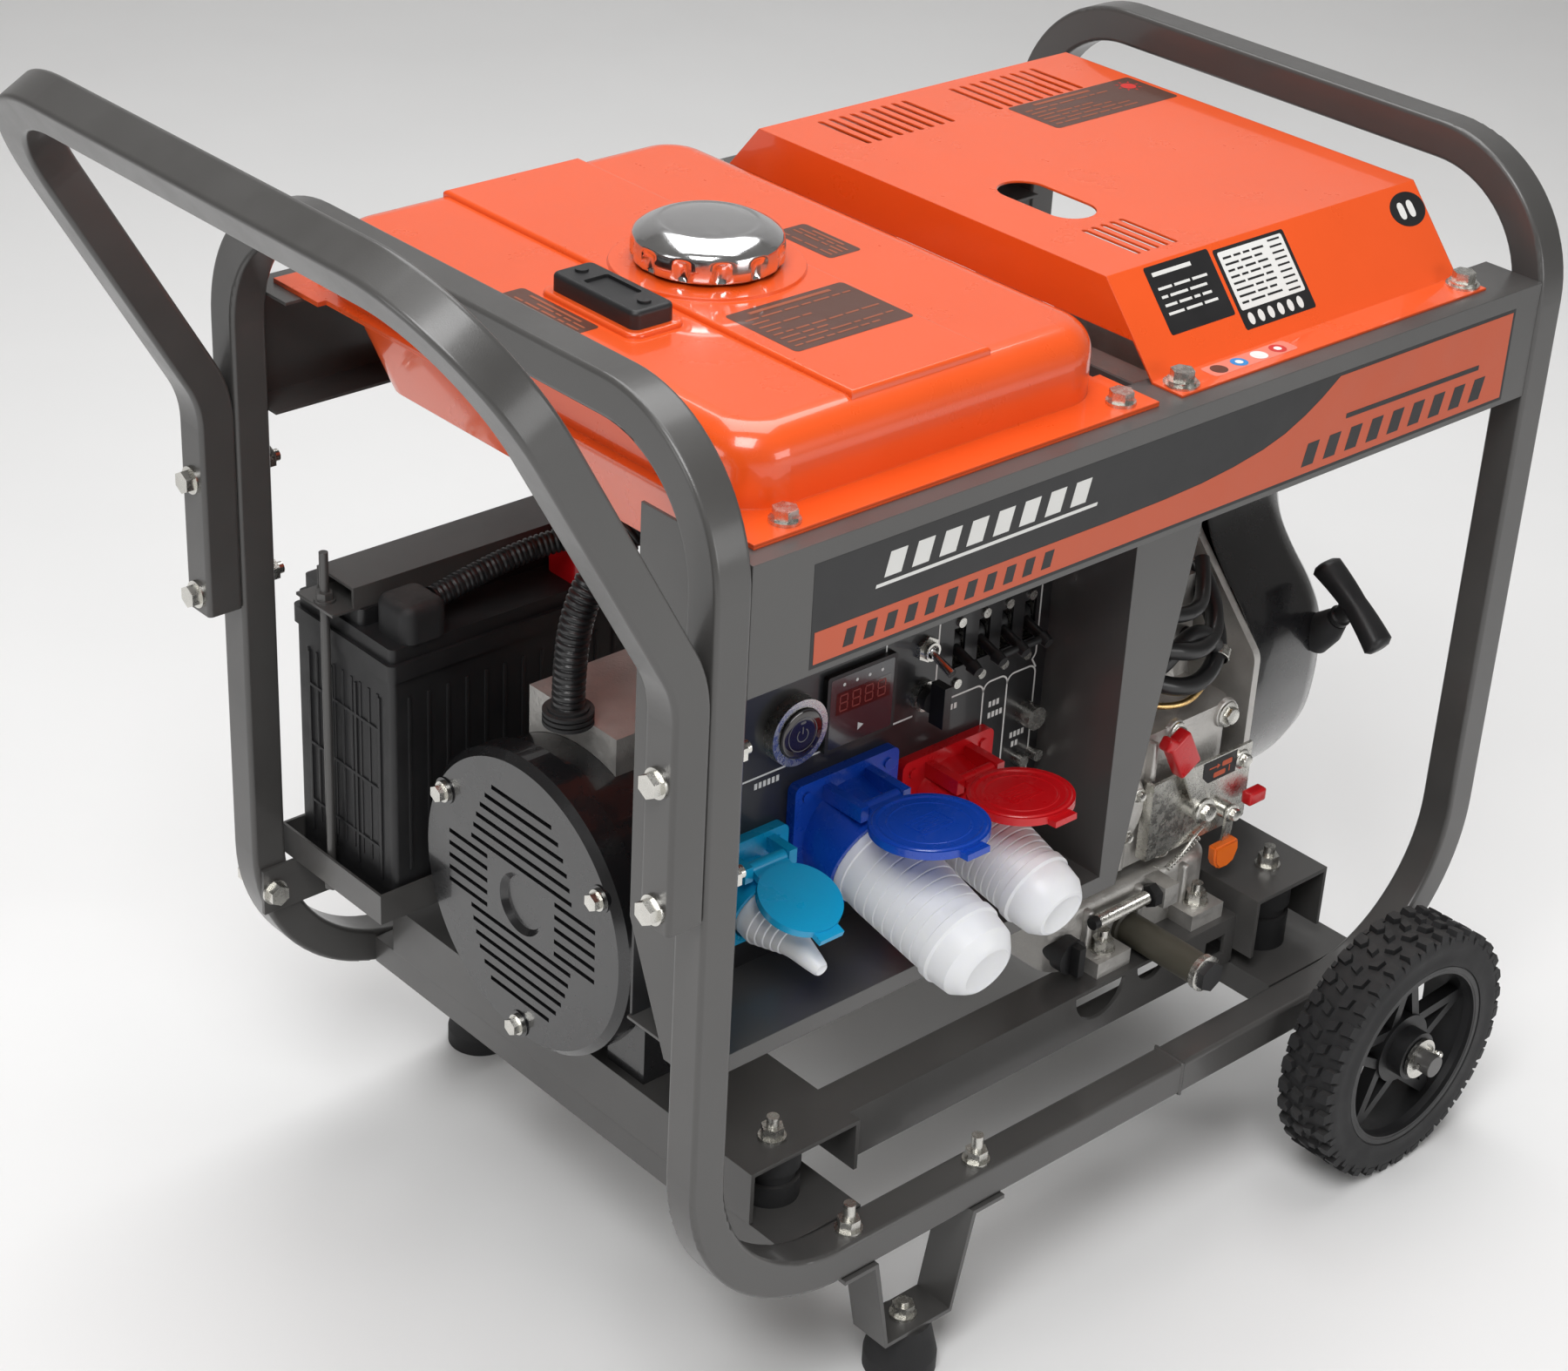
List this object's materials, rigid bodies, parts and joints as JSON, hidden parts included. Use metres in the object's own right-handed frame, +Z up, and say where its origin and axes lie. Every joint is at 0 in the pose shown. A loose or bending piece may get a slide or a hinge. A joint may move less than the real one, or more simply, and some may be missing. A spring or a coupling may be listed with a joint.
{
  "type": "open-frame diesel generator on two wheels",
  "caption": "Open tube-frame generator with a diesel engine, alternator, battery, socket panel, orange tank and cover, two wheels and a U handle.",
  "frame": {"origin": "centre of the whole object on the ground, midway between the handle bar and the wheel end", "axes": "+X from the handle towards the wheel end, +Y away from the control panel side, +Z up"},
  "size_m": [0.8804, 0.627, 0.8182],
  "materials": {
    "frame_paint": "satin",
    "orange_paint": "gloss",
    "black_paint": "gloss",
    "rubber": "matt",
    "tyre": "matt",
    "black_plastic": "satin",
    "zinc": "zinc plated",
    "chrome": "polished",
    "cast_aluminium": "cast",
    "blue_plastic": "gloss",
    "red_plastic": "gloss",
    "cyan_plastic": "gloss",
    "white_plastic": "satin",
    "orange_plastic": "gloss"
  },
  "bodies": {
    "machine": {"frame_left": "frame_paint", "frame_right": "frame_paint", "side_band_front": "frame_paint", "side_band_back": "frame_paint", "base_plates": "frame_paint", "engine_cradle": "frame_paint", "foot_brackets": "frame_paint", "handle_bar": "frame_paint", "axle_stubs": "frame_paint", "control_housing": "frame_paint", "battery_tray": "frame_paint", "rubber_parts": "rubber", "rubber_boots": "rubber", "battery_loom": "black_plastic", "alternator_loom": "black_plastic", "frame_studs": "zinc", "flange_bolts": "zinc", "battery_clamp": "frame_paint", "tank_upper": "orange_paint", "tank_lower": "orange_paint", "top_cover": "orange_paint", "fuel_gauge": "black_plastic", "battery": "black_plastic", "alternator_cover": "black_paint", "alternator_body": "black_paint", "alternator_bell": "cast_aluminium", "panel_face": "black_paint", "digital_meter": "black_plastic", "panel_fittings": "zinc", "socket_blue": "blue_plastic", "socket_red": "red_plastic", "socket_small": "cyan_plastic", "crankcase": "cast_aluminium", "cylinder_head": "cast_aluminium", "flywheel_shroud": "black_paint", "shroud_flange": "cast_aluminium", "throttle_bracket": "zinc", "muffler": "black_paint", "air_cleaner": "black_plastic", "engine_fittings": "black_plastic"},
    "wheel_front": {"tyre_front": "tyre", "wheel_hub_front": "black_plastic"},
    "wheel_back": {"tyre_back": "tyre", "wheel_hub_back": "black_plastic"},
    "filler_cap": {"fuel_cap": "chrome"},
    "start_push": {"start_button": "black_plastic"},
    "toggle": {"toggle_lever": "chrome"},
    "key": {"key_knob": "black_plastic"},
    "lever_single": {"breaker_single": "black_plastic"},
    "lever_triple": {"breaker_triple": "black_plastic"},
    "lid_blue": {"flap_blue": "blue_plastic"},
    "lid_red": {"flap_red": "red_plastic"},
    "lid_small": {"flap_small": "cyan_plastic"},
    "plug_blue_body": {"plug_blue": "white_plastic"},
    "plug_red_body": {"plug_red": "white_plastic"},
    "plug_small_body": {"plug_small": "white_plastic"},
    "recoil_grip": {"recoil_handle": "black_plastic"},
    "throttle": {"throttle_lever": "red_plastic"},
    "stop": {"stop_lever": "orange_plastic"},
    "oil_cap": {"dipstick": "black_plastic"}
  },
  "joints": [
    {"name": "wheel_front_spin", "type": "hinge", "parent": "machine", "child": "wheel_front", "pos_m": [0.33524, -0.2745, 0.096], "axis": [0, 1, 0], "continuous": true},
    {"name": "wheel_back_spin", "type": "hinge", "parent": "machine", "child": "wheel_back", "pos_m": [0.33524, 0.2745, 0.096], "axis": [0, 1, 0], "continuous": true},
    {"name": "filler_cap_turn", "type": "hinge", "parent": "machine", "child": "filler_cap", "pos_m": [-0.08776, 0, 0.7], "axis": [0, 0, 1], "range_deg": [-60, 0]},
    {"name": "start_press", "type": "slide", "parent": "machine", "child": "start_push", "axis": [0, 1, 0], "range_m": [0, 0.003], "stiffness_N_per_m": 200, "springref_m": -0.0015},
    {"name": "toggle_flip", "type": "hinge", "parent": "machine", "child": "toggle", "pos_m": [-0.02576, -0.1445, 0.47], "axis": [-1, 0, 0], "range_deg": [0, 40]},
    {"name": "key_turn", "type": "hinge", "parent": "machine", "child": "key", "pos_m": [-0.02576, -0.1395, 0.438], "axis": [0, 1, 0], "range_deg": [-45, 45]},
    {"name": "breaker_single_flip", "type": "hinge", "parent": "machine", "child": "lever_single", "pos_m": [0.00324, -0.1315, 0.461], "axis": [-1, 0, 0], "range_deg": [0, 36]},
    {"name": "breaker_triple_flip", "type": "hinge", "parent": "machine", "child": "lever_triple", "pos_m": [0.04424, -0.1315, 0.461], "axis": [-1, 0, 0], "range_deg": [0, 36]},
    {"name": "lid_blue_lift", "type": "hinge", "parent": "machine", "child": "lid_blue", "pos_m": [-0.09076, -0.17697, 0.40291], "axis": [-1, 0, 0], "range_deg": [0, 78]},
    {"name": "lid_red_lift", "type": "hinge", "parent": "machine", "child": "lid_red", "pos_m": [-0.00526, -0.17207, 0.38808], "axis": [-1, 0, 0], "range_deg": [0, 78]},
    {"name": "lid_small_lift", "type": "hinge", "parent": "machine", "child": "lid_small", "pos_m": [-0.16776, -0.16331, 0.38329], "axis": [-1, 0, 0], "range_deg": [0, 90]},
    {"name": "plug_blue_pull", "type": "slide", "parent": "machine", "child": "plug_blue_body", "axis": [0, -0.9659, -0.2588], "range_m": [0, 0.06]},
    {"name": "plug_red_pull", "type": "slide", "parent": "machine", "child": "plug_red_body", "axis": [0, -0.9659, -0.2588], "range_m": [0, 0.06]},
    {"name": "plug_small_pull", "type": "slide", "parent": "machine", "child": "plug_small_body", "axis": [0, -0.9659, -0.2588], "range_m": [0, 0.04]},
    {"name": "recoil_pull", "type": "slide", "parent": "machine", "child": "recoil_grip", "axis": [0, -0.6, 0.8], "range_m": [0, 0.14], "stiffness_N_per_m": 40, "springref_m": -0.04},
    {"name": "throttle_swing", "type": "hinge", "parent": "machine", "child": "throttle", "pos_m": [0.23824, -0.1583, 0.266], "axis": [0, 1, 0], "range_deg": [0, 45]},
    {"name": "stop_swing", "type": "hinge", "parent": "machine", "child": "stop", "pos_m": [0.26824, -0.1583, 0.253], "axis": [0, 1, 0], "range_deg": [0, 25]},
    {"name": "oil_cap_turn", "type": "hinge", "parent": "machine", "child": "oil_cap", "pos_m": [0.11944, -0.1504, 0.1945], "axis": [0, -1, 0], "range_deg": [0, 90]}
  ]
}
